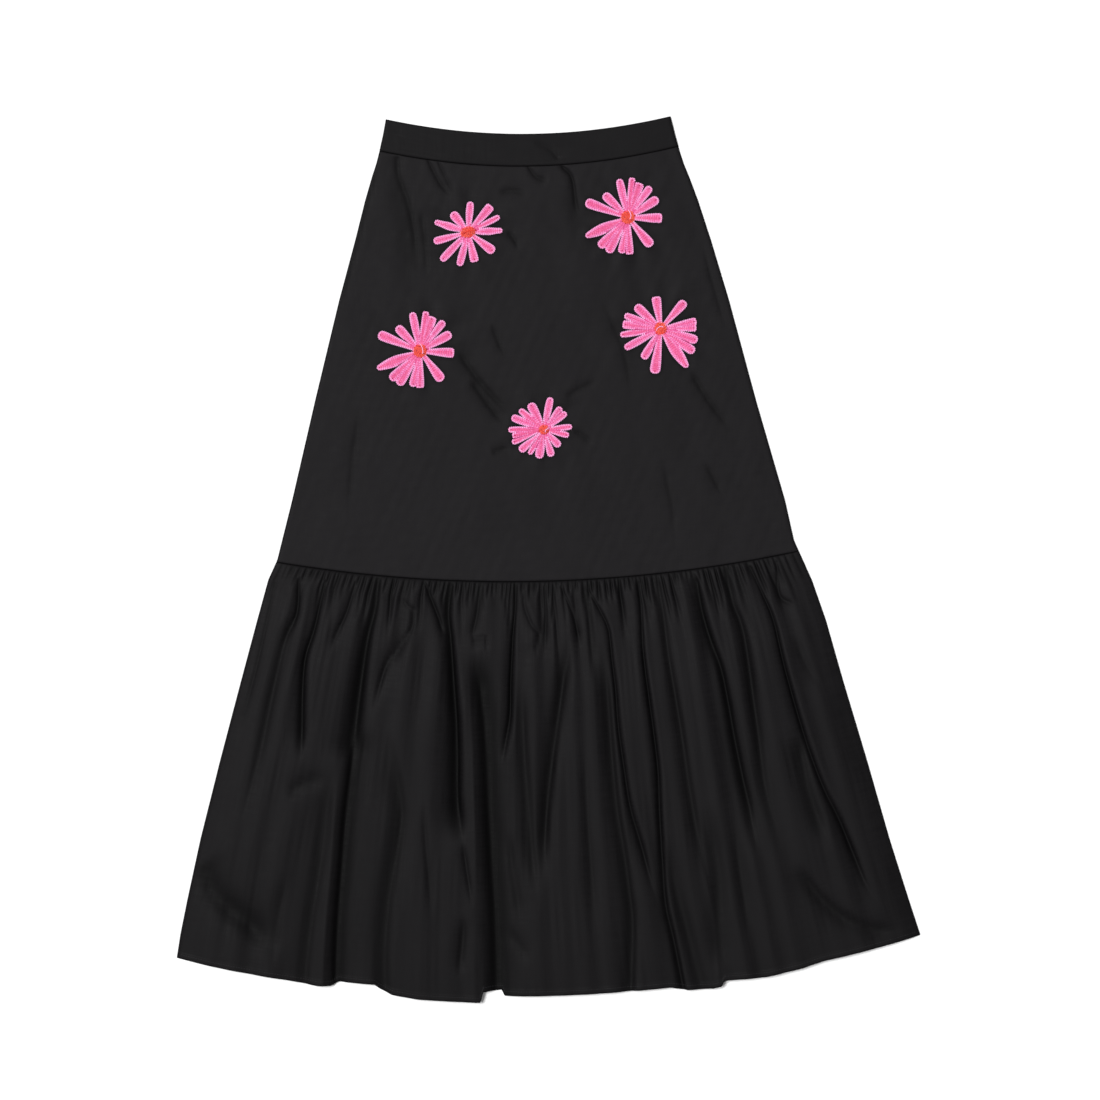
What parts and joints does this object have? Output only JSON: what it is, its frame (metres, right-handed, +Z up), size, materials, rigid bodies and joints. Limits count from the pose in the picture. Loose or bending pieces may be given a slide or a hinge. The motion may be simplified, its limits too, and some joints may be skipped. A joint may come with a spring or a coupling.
{
  "type": "embroidered skirt",
  "caption": "Long black skirt laid flat: plain waistband, A-line upper part with stitched daisies, and a wide gathered flounce.",
  "frame": {"origin": "middle of the laid-out skirt's box, on the surface that it lies on", "axes": "+Y from hem to waist, +X to the right as the front is seen from above, +Z up, away from the surface"},
  "size_m": [0.8556, 1.0179, 0.0106],
  "materials": {
    "black_cotton": "plain woven cotton, low sheen",
    "pink_thread": "thick chain stitch embroidery",
    "orange_thread": "coiled chain stitch embroidery"
  },
  "bodies": {
    "root": {"waistband_front": "black_cotton", "waistband_back": "black_cotton", "panel_front": "black_cotton", "panel_back": "black_cotton", "flounce_front": "black_cotton", "flounce_back": "black_cotton", "petals_1": "pink_thread", "petals_2": "pink_thread", "petals_3": "pink_thread", "petals_4": "pink_thread", "petals_5": "pink_thread", "centre_1": "orange_thread", "centre_2": "orange_thread", "centre_3": "orange_thread", "centre_4": "orange_thread", "centre_5": "orange_thread"}
  },
  "joints": []
}
